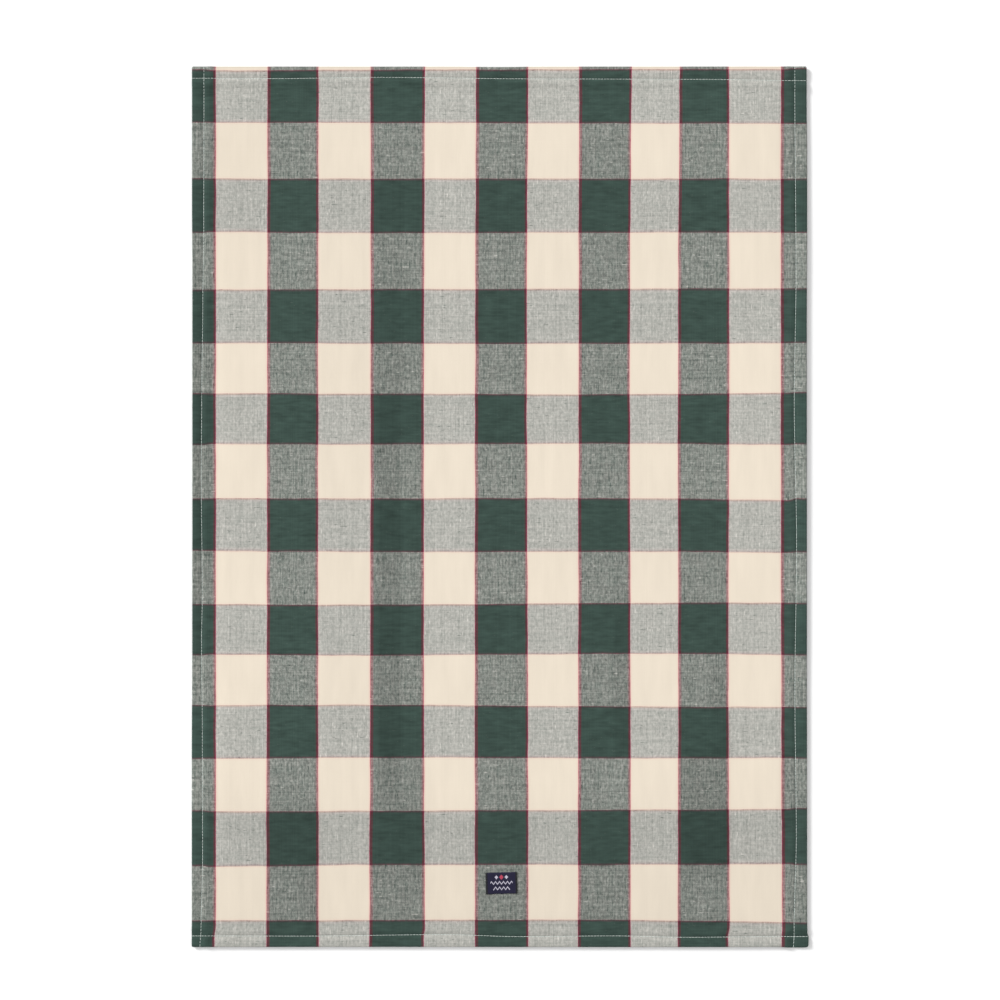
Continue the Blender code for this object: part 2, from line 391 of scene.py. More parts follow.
# The same for every yarn, also in plain cream: painted shade, and darker or lighter warp dye streaks
dyeAndPaintedShadePatches = [
    # the first two are painted shade, darker towards the bottom; then three dye streaks along the warp
    (0, -345, 400, 60, -0.020), (0, -345, 400, 115, -0.025), (-124, 60, 21, 265, -0.027),
    (-206, 255, 22, 90, -0.025), (204, 50, 22, 100, 0.015),
    (0, 352.6, 400, 1.7, -0.24),  # painted shade on the fold's crown, which faces the light
]
patchFade = 0.5  # share of a patch's reach over which it fades, half of it outside


def softPatch(value, reach):
    return 1.0 - smoothStep((np.abs(value) / reach - (1 - patchFade / 2)) / patchFade)


def toneAt(patches, x, y):
    tone = np.ones_like(x)
    for centreX, centreY, reachX, reachY, change in patches:
        across = softPatch(x * 1000 - centreX, reachX)
        tone += change * across * softPatch(y * 1000 - centreY, reachY)
    return tone


# Shares of the bake map: where each skin starts across it and how wide it is, and the same up it
bakeMap = {"face": (0.006, 0.586), "under": (0.606, 0.388), "up": (0.006, 0.988), "rawEdge": 0.003}


# Two skins and the raw edge between them as one closed mesh
def closedSheet(name, skins, uvMaps, attributes):
    columns, rows = skins[0].shape[:2]
    under = columns * rows
    index = np.arange(under).reshape(columns, rows)
    quads = np.stack([index[:-1, :-1], index[1:, :-1], index[1:, 1:], index[:-1, 1:]], -1).reshape(-1, 4)
    rim = np.concatenate([index[:-1, 0], index[-1, :-1], index[:0:-1, -1], index[0, :0:-1]])
    ahead = np.roll(rim, -1)
    edge = np.stack([ahead, rim, rim + under, ahead + under], -1)
    faces = np.concatenate([quads, quads[:, ::-1] + under, edge])
    corners = faces.reshape(-1)
    points = np.concatenate([skin.reshape(-1, 3) for skin in skins])
    mesh = bpy.data.meshes.new(name)
    mesh.from_pydata(points.tolist(), [], faces.tolist())
    for mapName, faceMap, underMap in uvMaps:
        layer = mesh.uv_layers.new(name=mapName)
        uv = np.concatenate([faceMap.reshape(-1, 2), underMap.reshape(-1, 2)])[corners]
        if mapName == "OFBake":  # the raw edge keeps to a thin strip beside the face
            start = 8 * len(quads)
            strip = np.concatenate([faceMap.reshape(-1, 2)] * 2)[corners[start:]]
            strip.reshape(-1, 4, 2)[:, 2:, 0] += bakeMap["rawEdge"]
            uv[start:] = strip
        layer.data.foreach_set("uv", uv.reshape(-1))
    for attributeName, values in attributes.items():
        layer = mesh.attributes.new(attributeName, "FLOAT", "POINT")
        layer.data.foreach_set("value", np.concatenate([values.reshape(-1)] * 2).astype(np.float32))
    mesh.validate()
    return mesh


def makeTowel(material):
    skins, flatX, flatY = foldCloth()
    dice = np.random.default_rng(stripes["seed"])
    across = stripeCount(flatX, flatY, "warp", warpChanges, towel["length"] / 2, dice)
    down = stripeCount(flatY, flatX, "weft", weftChanges, towel["width"] / 2, dice)
    threads = np.stack([across, down], -1)
    cutX, cutY = (towel[side] + 2 * towel["hemAllowance"] for side in ("width", "length"))
    shareX, shareY = flatX / cutX + 0.5, flatY / cutY + 0.5
    v = bakeMap["up"][0] + bakeMap["up"][1] * shareY
    face, under = (np.stack([bakeMap[k][0] + bakeMap[k][1] * shareX, v], -1) for k in ("face", "under"))
    mesh = closedSheet(
        "checkedCloth", skins, [("OFBake", face, under), ("threads", threads, threads)],
        {"tone": toneAt(toneAndPaintedShadePatches, flatX, flatY), "shade": toneAt(dyeAndPaintedShadePatches, flatX, flatY)})
    piece = addPiece("checked_cloth", mesh, material)
    print("cloth folded:", skins[0].shape[0], "by", skins[0].shape[1], "lines")
    return piece, (cutX, cutY)


# Gives a node its inputs, by name or number: sockets are linked and plain values set
def feed(node, given):
    for name, value in given.items():
        if isinstance(value, bpy.types.NodeSocket):
            node.id_data.links.new(value, node.inputs[name])
        else:
            node.inputs[name].default_value = value
    return node


# A new node's outputs
def addNode(tree, kind, given=None, **settings):
    node = tree.nodes.new(kind)
    for name, value in settings.items():
        setattr(node, name, value)
    return feed(node, given or {}).outputs


# The same, in the tree of the sockets that feed it
def nodeFrom(kind, given, **settings):
    tree = next(value.id_data for value in given.values() if isinstance(value, bpy.types.NodeSocket))
    return addNode(tree, kind, given, **settings)


def calc(operation, *values, clamp=False):
    return nodeFrom("ShaderNodeMath", dict(enumerate(values)), operation=operation, use_clamp=clamp)[0]


plus, minus, divided, larger, timesPlus, floor, below, above = (partial(calc, kind) for kind in (
    "ADD", "SUBTRACT", "DIVIDE", "MAXIMUM", "MULTIPLY_ADD", "FLOOR", "LESS_THAN", "GREATER_THAN"))


def times(a, *others):
    for b in others:
        a = calc("MULTIPLY", a, b)
    return a


# How far two values lie apart
def apart(a, b):
    return calc("ABSOLUTE", minus(a, b))


def scaled(colour, factor):
    return nodeFrom("ShaderNodeVectorMath", {0: colour, "Scale": factor}, operation="SCALE")[0]


def blendColour(share, a, b, kind="MIX"):
    return nodeFrom("ShaderNodeMix", {0: share, 6: a, 7: b}, data_type="RGBA", blend_type=kind)[2]


def blendValue(share, a, b):
    return nodeFrom("ShaderNodeMix", {0: share, 2: a, 3: b}, data_type="FLOAT")[0]


def vector(x=0.0, y=0.0, z=0.0):
    return nodeFrom("ShaderNodeCombineXYZ", {0: x, 1: y, 2: z})[0]


def partsOf(value):
    return nodeFrom("ShaderNodeSeparateXYZ", {0: value})


def bumpOf(height, distance, strength):
    return nodeFrom("ShaderNodeBump", {"Height": height, "Distance": distance, "Strength": strength})[0]


# Noise over counted yarns; each has a layer of its own, so that no two are alike
def noiseOf(x, y, layer, detail, roughness=0.5):
    given = {"Vector": vector(x, y, layer), "Scale": 1.0, "Detail": detail, "Roughness": roughness}
    return nodeFrom("ShaderNodeTexNoise", given, noise_dimensions="3D")[0]


# A number from 0 to 1 by chance, the same for the same two numbers
def chance(a, b):
    return nodeFrom("ShaderNodeTexWhiteNoise", {"Vector": vector(a, b)}, noise_dimensions="2D")[0]


# A group's inputs take their kind from the value that they start with, and None is geometry
socketKinds = {float: "NodeSocketFloat", int: "NodeSocketInt", type(None): "NodeSocketGeometry"}


def newGroup(name, kind, inputs, outputs):
    tree = bpy.data.node_groups.new(name, kind)
    for socketName, value in inputs.items():
        socketKind = socketKinds[type(value)]
        socket = tree.interface.new_socket(socketName, in_out="INPUT", socket_type=socketKind)
        if value is not None:
            socket.default_value = value
    for socketName, value in outputs.items():
        tree.interface.new_socket(socketName, in_out="OUTPUT", socket_type=socketKinds[type(value)])
    return tree, tree.nodes.new("NodeGroupInput").outputs, tree.nodes.new("NodeGroupOutput")


def newMaterial(name):
    material = bpy.data.materials.new(name)
    material.use_nodes = True
    tree = material.node_tree
    return material, tree, tree.nodes["Principled BSDF"]


# How yarns are drawn, in shares of the pitch from one yarn to the next unless a note says more
yarn = {
    "apart": 7.31,  # noise steps between neighbours, so that each yarn has its own
    "ownShare": 0.3,  # what a yarn's own chance adds to the noise in its width
    "swing": 4.0,
    "softEdge": 0.15,
    "crownAcross": 2.9,  # radians for each pitch
    "crownAlong": 2.2,
    "slubStep": 0.07,  # noise steps for each yarn crossed
    "slubFrom": 0.66,
    "slubTo": 0.78,
    "fleckFrom": 0.996,
}
# Noise in the cloth: its steps for each end and each pick, its layer and its detail
clothNoise = {
    "Grain": {"end": 0.28, "pick": 0.19, "layer": 5.0, "detail": 1.0},
    "Warp Streaks": {"end": 0.40, "pick": 0.036, "layer": 15.0, "detail": 1.0},
    "Weft Streaks": {"end": 0.045, "pick": 0.24, "layer": 25.0, "detail": 1.0},
    "bands": {"end": 0.06, "pick": 0.014, "layer": 60.0, "detail": 2.0},
    "mottle": {"end": 0.035, "pick": 0.075, "layer": 70.0, "detail": 2.0},
}


# One of these, from -0.5 to 0.5
def fieldOf(name, ends, picks):
    steps = clothNoise[name]
    x, y = times(ends, steps["end"]), times(picks, steps["pick"])
    return minus(noiseOf(x, y, steps["layer"], steps["detail"]), 0.5)


# Plain weave from counted ends and picks: which yarn is on top, the gaps, the relief and each
# yarn's own tone
def makeWeaveGroup():
    plain = {"Ends": 0.0, "Picks": 0.0, "Warp Width": 0.9, "Weft Width": 0.7, "Warp Unevenness": 0.1,
             "Weft Unevenness": 0.1, "Slub Length": 20.0, "Thread Contrast": 0.4, "Grain": 0.0,
             "Warp Streaks": 0.0, "Weft Streaks": 0.0, "Slubs": 0.0}
    results = ("Weft Shows", "Gap", "Relief", "Warp Tone", "Weft Tone", "Streak", "Speck", "Fleck")
    tree, given, result = newGroup("plainWeave", "ShaderNodeTree", plain, dict.fromkeys(results, 0.0))
    ends, picks, slub, contrast = (given[k] for k in ("Ends", "Picks", "Slub Length", "Thread Contrast"))
    endIndex, pickIndex = floor(ends), floor(picks)
    offEnd, offPick = (apart(calc("FRACT", count), 0.5) for count in (ends, picks))
    parity = calc("FLOORED_MODULO", plus(endIndex, pickIndex), 2.0)
    warpNoise = noiseOf(times(endIndex, yarn["apart"]), divided(picks, slub), 0.0, 2.0, 0.6)
    weftNoise = noiseOf(divided(ends, slub), times(pickIndex, yarn["apart"]), 40.0, 2.0, 0.6)
    warpChance, weftChance = chance(endIndex, 3.0), chance(11.0, pickIndex)

    def yarnWidth(kind, noise, luck):
        swing = plus(minus(noise, 0.5), times(minus(luck, 0.5), yarn["ownShare"]))
        uneven = times(given[kind + " Unevenness"], yarn["swing"])
        return times(given[kind + " Width"], timesPlus(swing, uneven, 1.0))

    def covers(width, off):
        return plus(divided(minus(times(width, 0.5), off), yarn["softEdge"]), 0.5, clamp=True)

    warpWidth, weftWidth = yarnWidth("Warp", warpNoise, warpChance), yarnWidth("Weft", weftNoise, weftChance)
    noWarp, weftThere = minus(1.0, covers(warpWidth, offEnd)), covers(weftWidth, offPick)
    crossed = blendValue(parity, times(weftThere, noWarp), weftThere)
    average = times(weftWidth, 0.5, minus(2.0, warpWidth))
    # seen from further off, single crossings fade into grain and streaks
    shows = blendValue(contrast, average, crossed)
    fields = {name: fieldOf(name, ends, picks) for name in ("Grain", "Warp Streaks", "Weft Streaks")}
    for name, field in fields.items():
        shows = timesPlus(field, given[name], shows)
    # short thick places in either yarn
    slubbyPick = noiseOf(times(ends, yarn["slubStep"]), times(pickIndex, yarn["apart"]), 35.0, 1.0)
    slubbyEnd = noiseOf(times(endIndex, yarn["apart"]), times(picks, yarn["slubStep"]), 45.0, 1.0)
    for field, sign in ((slubbyPick, 1.0), (slubbyEnd, -1.0)):
        span = {"Value": field, "From Min": yarn["slubFrom"], "From Max": yarn["slubTo"]}
        thick = nodeFrom("ShaderNodeMapRange", span, interpolation_type="SMOOTHSTEP")[0]
        shows = timesPlus(times(thick, sign), given["Slubs"], shows)
    shows = calc("MINIMUM", larger(shows, 0.0), 1.0)
    openWarp, openWeft = (minus(1.0, width, clamp=True) for width in (warpWidth, weftWidth))
    gap = blendValue(contrast, times(openWarp, openWeft), times(noWarp, minus(1.0, weftThere)))

    # a yarn stands highest in the middle of its float
    def crown(across, along):
        return times(calc("COSINE", times(across, yarn["crownAcross"])),
                     calc("COSINE", times(along, yarn["crownAlong"])))

    relief = blendValue(crossed, times(crown(offEnd, offPick), warpWidth),
                        times(crown(offPick, offEnd), weftWidth))
    # flecks of lint, one in a few hundred crossings
    lint = chance(floor(times(ends, 0.5)), plus(pickIndex, 0.3))
    feed(result, {
        "Weft Shows": shows,
        "Gap": gap,
        "Relief": times(relief, minus(1.0, gap)),
        "Warp Tone": plus(times(warpChance, 0.5), times(warpNoise, 0.5)),
        "Weft Tone": plus(times(weftChance, 0.5), times(weftNoise, 0.5)),
        "Streak": fields["Weft Streaks"],
        "Speck": fields["Grain"],
        "Fleck": above(lint, yarn["fleckFrom"]),
    })
    return tree


weaveGroup = makeWeaveGroup()

cloth = {
    "endsPerStripe": 84.0,
    "picksPerStripe": 76.0,
    "redEnds": 4.0,
    "redPicks": 3.0,
    "moreRedEnds": 1,  # where a stripe of green starts
    "green": (0.0368, 0.0632, 0.0525, 1.0),
    # cream among green yarns is painted darker and greener: the shade and green light that the green yarns
    # throw on it
    "creamOnCream": (0.735, 0.650, 0.535, 1.0),
    "creamOnGreen": (0.675, 0.650, 0.600, 1.0),
    "warpReds": ((0.120, 0.018, 0.032, 1.0), (0.44, 0.020, 0.105, 1.0)),  # within, and beside the cream
    "weftReds": ((0.068, 0.037, 0.043, 1.0), (0.25, 0.070, 0.10, 1.0)),
    "warpWidths": (1.00, 0.85),  # green, cream, as shares of the pitch
    "weftWidths": (0.772, 0.49),
    "redWeftWidth": 0.80,
    "besideRed": 0.62,  # width of green picks beside the red ones
    "bleed": (1.0, 0.87, 0.89, 1.0),  # tints the cream next to red ends
    "bleedReach": 3.6,  # in yarns
    "weftBleed": 0.4,
    "drift": 1.6,  # in yarns, how far they stray from their lines
    "driftStep": 0.022,  # noise steps for each yarn
    "warpUnevenness": (0.38, 0.24),  # green, cream
    "weftUnevenness": (0.17, 0.24),
    "weave": {"Slub Length": 20.0, "Thread Contrast": 0.35, "Grain": 0.20, "Warp Streaks": 0.22,
              "Weft Streaks": 0.12, "Slubs": 0.30},
    "speckle": (0.80, -0.38),  # the grain as light and dark, on green ends and on cream ends
    "fleck": 0.03,
    "toneSwing": (0.35, 0.02),  # green, cream
    "greenStreaks": 0.6,
    "greenMottle": 0.65,
    "creamBands": 0.12,
    "creamCalm": 0.8,  # share of the changes in tone that plain cream is spared
    "gapShade": -0.08,
    "reliefDepth": 0.00010,
    "reliefStrength": 0.35,
    "finish": {"Roughness": 0.9, "Specular IOR Level": 0.15, "Sheen Weight": 0.03},
}


def makeClothMaterial():
    material, tree, shader = newMaterial("checked cloth")
    counts = partsOf(addNode(tree, "ShaderNodeUVMap", uv_map="threads")[0])
    ends, picks = times(counts[0], cloth["endsPerStripe"]), times(counts[1], cloth["picksPerStripe"])
    # yarns never lie quite straight: a slow drift and a short shuffle
    where = vector(times(ends, cloth["driftStep"]), times(picks, cloth["driftStep"]))
    stray = partsOf(nodeFrom("ShaderNodeTexNoise", {
        "Vector": where, "Scale": 1.0, "Detail": 3.0, "Roughness": 0.5}, noise_dimensions="2D")[1])
    ends = plus(ends, times(minus(stray[0], 0.5), cloth["drift"]))
    picks = plus(picks, times(minus(stray[1], 0.5), cloth["drift"]))
    half = 0.5 * (cloth["redPicks"] % 2)  # an odd number of red picks has one in the middle
    picks = plus(picks, half)

    # Masks for cream and red yarns and for the red ones in cream, and the nearness to red
    def stripeParts(count, perStripe, redYarns, more):
        stripe = divided(count, perStripe)
        cream = calc("FLOORED_MODULO", floor(stripe), 2.0)
        off = times(apart(calc("FRACT", plus(stripe, 0.5)), 0.5), perStripe)
        red = below(off, redYarns / 2)
        outermost = times(cream, above(off, redYarns / 2 - 1))
        past = times(calc("FRACT", stripe), perStripe)
        late = minus(below(past, redYarns / 2 + more), cream, clamp=True)
        away = divided(minus(off, redYarns / 2), cloth["bleedReach"], clamp=True)
        return cream, larger(red, late), outermost, minus(1.0, away)

    # colours change between yarns, so count whole yarns
    endMiddle, pickMiddle = plus(floor(ends), 0.5), plus(floor(picks), 0.5 - half)
    warpCream, warpRed, warpBright, nearEnds = stripeParts(
        endMiddle, cloth["endsPerStripe"], cloth["redEnds"], cloth["moreRedEnds"])
    weftCream, weftRed, weftBright, nearPicks = stripeParts(
        pickMiddle, cloth["picksPerStripe"], cloth["redPicks"], 0)
    greenWidth = blendValue(nearPicks, cloth["weftWidths"][0], cloth["besideRed"])
    weftWidth = blendValue(weftCream, greenWidth, cloth["weftWidths"][1])
    weave = nodeFrom("ShaderNodeGroup", {
        "Ends": ends, "Picks": picks,
        "Warp Width": blendValue(warpCream, *cloth["warpWidths"]),
        "Weft Width": blendValue(weftRed, weftWidth, cloth["redWeftWidth"]),
        "Warp Unevenness": blendValue(warpCream, *cloth["warpUnevenness"]),
        "Weft Unevenness": blendValue(weftCream, *cloth["weftUnevenness"]),
        **cloth["weave"],
    }, node_tree=weaveGroup)

    bothCream = times(warpCream, weftCream)
    creamYarn = blendColour(bothCream, cloth["creamOnGreen"], cloth["creamOnCream"])
    bands = timesPlus(fieldOf("bands", ends, picks), cloth["creamBands"], 1.0)
    tinted = larger(nearEnds, times(nearPicks, cloth["weftBleed"]))
    creamYarn = blendColour(tinted, scaled(creamYarn, bands), cloth["bleed"], "MULTIPLY")
    mottle = times(fieldOf("mottle", ends, picks), cloth["greenMottle"])
    streak = timesPlus(weave["Streak"], cloth["greenStreaks"], mottle)

    def yarnColour(creamMask, redMask, brightMask, reds, tone):
        swing = blendValue(creamMask, *cloth["toneSwing"])
        factor = plus(plus(1.0, times(minus(tone, 0.5), swing)), blendValue(creamMask, streak, 0.0))
        dyed = blendColour(creamMask, cloth["green"], creamYarn)
        return scaled(blendColour(redMask, dyed, blendColour(brightMask, *cloth[reds])), factor)

    warpColour = yarnColour(warpCream, warpRed, warpBright, "warpReds", weave["Warp Tone"])
    weftColour = yarnColour(weftCream, weftRed, weftBright, "weftReds", weave["Weft Tone"])
    colour = blendColour(weave["Weft Shows"], warpColour, weftColour)
    colour = blendColour(times(weave["Fleck"], cloth["fleck"]), colour, cloth["creamOnGreen"])

    # the tone attribute (denser or thinner cloth, with painted shade and light) changes all but plain cream,
    # the shade attribute (dye streaks and painted shade) changes every yarn, and gaps get a little painted
    # shade
    tone, shade = (addNode(tree, "ShaderNodeAttribute", attribute_name=k)["Fac"] for k in ("tone", "shade"))
    tone = blendValue(times(bothCream, cloth["creamCalm"]), tone, 1.0)
    onGreen = times(minus(weftCream, warpCream, clamp=True), cloth["speckle"][0])
    onCream = times(minus(warpCream, weftCream, clamp=True), cloth["speckle"][1])
    speckle = timesPlus(weave["Speck"], plus(onGreen, onCream), 1.0)
    dark = timesPlus(weave["Gap"], cloth["gapShade"], 1.0)
    feed(shader, {
        "Base Color": scaled(colour, times(tone, times(shade, speckle), dark)),
        "Normal": bumpOf(weave["Relief"], cloth["reliefDepth"], cloth["reliefStrength"]),
        **cloth["finish"],
    })
    return material


stitch = {
    "arcSteps": 4,
    "ringSides": 6,
    "taper": 0.45,  # share of the radius lost at the ends
    "long": (0.9, 1.08),  # lowest and highest share of the plain size
    "wide": (0.85, 1.12),
    "tall": (0.9, 1.1),
}


# Stitches along a line: short arched threads, each a little different
def makeStitchTree(name, colour, values):
    tree, given, result = newGroup(name, "GeometryNodeTree", {"Line": None, **values}, {"Stitches": None})
    material = makeThreadMaterial(name + " thread", colour)

    def step(kind, inputs, **settings):
        return addNode(tree, "GeometryNode" + kind, inputs, **settings)

    def dice(low, high, more):
        span = {"Seed": plus(given["Seed"], more), 2: low, 3: high}
        return nodeFrom("FunctionNodeRandomValue", span, data_type="FLOAT")[1]

    line = step("MeshToCurve", {"Mesh": given["Line"]})[0]
    points = step("CurveToPoints", {"Curve": line, "Length": given["Pitch"]}, mode="LENGTH")
    half, dip = times(given["Stitch Length"], 0.5), times(given["Arch"], -1.0)
    arc = step("CurveQuadraticBezier", {
        "Resolution": stitch["arcSteps"], "Start": vector(times(half, -1.0), z=dip),
        "Middle": vector(z=given["Arch"]), "End": vector(half, z=dip)})[0]
    ring = step("CurvePrimitiveCircle", {
        "Resolution": stitch["ringSides"], "Radius": given["Thread Radius"]}, mode="RADIUS")[0]
    offMiddle = calc("ABSOLUTE", timesPlus(step("SplineParameter", {})["Factor"], 2.0, -1.0))
    taper = minus(1.0, times(calc("POWER", offMiddle, 3.0), stitch["taper"]))
    thread = step("CurveToMesh", {"Curve": arc, "Profile Curve": ring, "Scale": taper, "Fill Caps": True})[0]
    facing = nodeFrom("FunctionNodeAlignRotationToVector", {"Vector": points["Tangent"]},
                      axis="X", pivot_axis="Z")[0]
    leans = [times(dice(-1.0, 1.0, more), given["Lean"]) for more in (1, 2)]
    turned = nodeFrom("FunctionNodeRotateRotation", {0: facing, 1: vector(0.0, *leans)},
                      rotation_space="LOCAL")[0]
    spread = vector(dice(*stitch["long"], 3), dice(*stitch["wide"], 4), dice(*stitch["tall"], 5))
    row = step("InstanceOnPoints", {
        "Points": points[0], "Instance": thread, "Rotation": turned, "Scale": spread})[0]
    row = step("StoreNamedAttribute", {"Geometry": row, "Name": "shade", "Value": dice(0.0, 1.0, 6)},
               data_type="FLOAT", domain="INSTANCE")[0]
    smooth = step("SetShadeSmooth", {"Geometry": step("RealizeInstances", {"Geometry": row})[0]})[0]
    feed(result, {0: step("SetMaterial", {"Geometry": smooth, "Material": material})[0]})
    return tree


# Runs a tree over open lines, with any changed values, and keeps the result as a plain mesh
def stitchAlong(name, lines, tree, changes=None):
    points, edges = [], []
    for line in lines:
        edges += [(len(points) + k, len(points) + k + 1) for k in range(len(line) - 1)]
        points += [tuple(p) for p in line]
    mesh = bpy.data.meshes.new(name + "Line")
    mesh.from_pydata(points, edges, [])
    piece = addPiece(name, mesh)
    modifier = piece.modifiers.new("stitches", "NODES")
    modifier.node_group = tree
    sockets = {i.name: i.identifier for i in tree.interface.items_tree if i.in_out == "INPUT"}
    for socketName, value in (changes or {}).items():
        modifier[sockets[socketName]] = value
    made = piece.evaluated_get(bpy.context.evaluated_depsgraph_get())
    result = bpy.data.meshes.new_from_object(made)
    piece.modifiers.clear()
    piece.data = result
    bpy.data.meshes.remove(mesh)
    print(name, "has", len(result.polygons), "faces")
    return piece


threadLook = {
    "fuzz": 5000.0,  # per metre, as is the twist
    "twist": 900.0,
    "swing": 0.16,  # of each stitch's own shade, and again of its fuzz
    "least": 0.84,
    "twistDepth": 0.00005,
    "twistStrength": 0.5,
    "finish": {"Roughness": 0.75, "Specular IOR Level": 0.25},
}


def makeThreadMaterial(name, colour):
    material, tree, shader = newMaterial(name)
    shade = addNode(tree, "ShaderNodeAttribute", attribute_name="shade")["Fac"]
    where = addNode(tree, "ShaderNodeTexCoord")["Object"]
    fuzz = nodeFrom("ShaderNodeTexNoise", {"Vector": where, "Scale": threadLook["fuzz"], "Detail": 2.0})[0]
    factor = timesPlus(shade, threadLook["swing"], threadLook["least"])
    factor = plus(factor, times(fuzz, threadLook["swing"]))
    twist = nodeFrom("ShaderNodeTexWave", {
        "Vector": where, "Scale": threadLook["twist"], "Distortion": 1.0},
        wave_type="BANDS", bands_direction="DIAGONAL")[1]
    feed(shader, {
        "Base Color": scaled(colour, factor),
        "Normal": bumpOf(twist, threadLook["twistDepth"], threadLook["twistStrength"]),
        **threadLook["finish"],
    })
    return material


hemThread = {
    "colour": (0.70, 0.765, 0.725),
    "fromEdge": 0.0014,  # where a seam starts, past the fold
    "points": 480,
    "aboveFace": 0.00008,
    "aboveTable": 0.00001,  # of the stitches underneath, on top of the cloth's own lift
    "face": {"Pitch": 0.00245, "Stitch Length": 0.0024, "Thread Radius": 0.000145, "Arch": 0.00014,
             "Lean": 0.04, "Seed": 4},
    "back": {"Thread Radius": 0.00015, "Arch": 0.00004, "Seed": 9},  # where it differs
}


def seamLines(onFace):
    lines = []
    for side in seamInsets:
        upright = side in ("left", "right")
        along, across = ("length", "width") if upright else ("width", "length")
        end = towel[along] / 2 - hemThread["fromEdge"]
        t = np.linspace(-end, end, hemThread["points"])
        s = (towel[across] / 2 - sideValue(seamInsets, side, t)) * (1 if side in ("right", "top") else -1)
        x, y = (s, t) if upright else (t, s)
        if onFace:
            z = stackHeight(x, y) + liftAt(x, y) + hemThread["aboveFace"]
        else:
            z = liftAt(x, y) + hemThread["aboveTable"]
        lines.append(np.stack([*onTable(x, y), z], -1))
    return lines


# The woven label, folded under at both ends
label = {
    "width": 0.0252,
    "height": 0.0171,
    "tab": 0.0055,
    "layer": 0.00023,
    "turn": 1.5,  # degrees, counter-clockwise
    "offCloth": 0.00006,
    "foldRadius": 1.05,  # in layers
    "sink": 0.85,  # in layers, of the middle, which has no tab under it
    "sinkPast": 0.001,  # how far over the tab's end that starts
    "sinkFade": 0.004,
    "waver": 0.00008,  # of the cut edges
    "waverTurns": 700,  # radians per metre
    "rows": 20,
    "navy": (0.0088, 0.0072, 0.0290, 1.0),
    "selvedge": (0.0095, 0.0100, 0.0130, 1.0),  # plain bands beside the folds
    "selvedgeWidth": 0.0016,
    "light": (0.48, 0.46, 0.54, 1.0),
    "red": (0.42, 0.05, 0.09, 1.0),
    "yarnsPerMm": 6.0,
    "warpWidth": 0.95,
    "weftWidth": 0.8,
    "shade": (0.35, 0.85),  # what a weft on top adds, and the rest
    "raised": 0.8,  # the ornament, in yarns
    "reliefDepth": 0.00006,
    "reliefStrength": 0.5,
    "finish": {"Roughness": 0.7, "Specular IOR Level": 0.25, "Sheen Weight": 0.05},
    "thread": (0.020, 0.020, 0.024),
    "seamInset": 0.0011,
    "seamEnds": 0.0006,
    "stitch": {"Pitch": 0.0022, "Stitch Length": 0.0019, "Thread Radius": 0.00018, "Arch": 0.00010,
               "Lean": 0.05, "Seed": 3},
    "threadOff": 0.00004,
}
# Its ornament, in mm from the middle, drawn on whole threads
ornament = {
    "threadsPerMm": 4.0,
    "zigzags": [{"y": 0.1, "reach": 8.8}, {"y": -4.3, "reach": 6.6}],
    "zigzag": {"period": 3.2, "height": 2.2, "thick": 0.52},
    "lights": {"x": 4.0, "y": 4.6, "wide": 1.4, "tall": 1.7},
    "red": {"x": 0.0, "y": 4.6, "wide": 1.8, "tall": 2.1},
}


# The label's section, as places (x, z) and their outward normals
def labelPath():
    half, r = label["width"] / 2, label["layer"] * label["foldRadius"]
    tab = np.linspace(-half + label["tab"], -half + r, 5)[:-1]
    left = [(x, 0.0, 0.0, -1.0) for x in tab]
    for a in np.pi * np.linspace(0, 1, 8):
        left.append((-half + r - r * np.sin(a), r - r * np.cos(a), -np.sin(a), -np.cos(a)))
    middle = [(x, 2 * r, 0.0, 1.0) for x in np.linspace(-half + r, half - r, 30)[1:-1]]
    right = [(-x, z, -outX, outZ) for x, z, outX, outZ in reversed(left)]
    return np.array(left + middle + right)


# Where a place on the label lies, and how high its underside is there
def onCloth(x, y):
    low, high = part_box("woven_label")
    turn = np.radians(label["turn"])
    placeX = (low[0] + high[0]) / 2 + x * np.cos(turn) - y * np.sin(turn)
    placeY = (low[1] + high[1]) / 2 + x * np.sin(turn) + y * np.cos(turn)
    return placeX, placeY, stackHeight(placeX, placeY) + liftAt(placeX, placeY) + label["offCloth"]


def makeLabel(material):
    path = labelPath()
    rows = np.linspace(-0.5, 0.5, label["rows"]) * label["height"]
    x, z, outX, outZ = (path[:, k][:, None] + 0 * rows for k in range(4))
    y = rows[None, :] + 0 * x
    inner = label["width"] / 2 - label["tab"] + label["sinkPast"] - np.abs(x)
    z = z - np.where(outZ > 0.5, smoothStep(inner / label["sinkFade"]) * label["layer"] * label["sink"], 0.0)
    y = y + label["waver"] * np.sin(x * label["waverTurns"] + 1.0) * y / label["height"] * 2
    along = np.concatenate([[0], np.cumsum(np.hypot(np.diff(path[:, 0]), np.diff(path[:, 1])))])
    along = (along - along[-1] / 2)[:, None] + 0 * rows
    skins = []
    for depth in (0.0, label["layer"]):
        placeX, placeY, ground = onCloth(x - outX * depth, y)
        skins.append(np.stack([placeX, placeY, ground + (z - outZ * depth)], -1))
    grid = np.stack([along * 1000, y * 1000], -1)
    mesh = closedSheet("labelWeave", skins, [("weaveGrid", grid, grid)], {})
    return addPiece("label_weave", mesh, material), (label["width"] + 2 * label["tab"], label["height"])


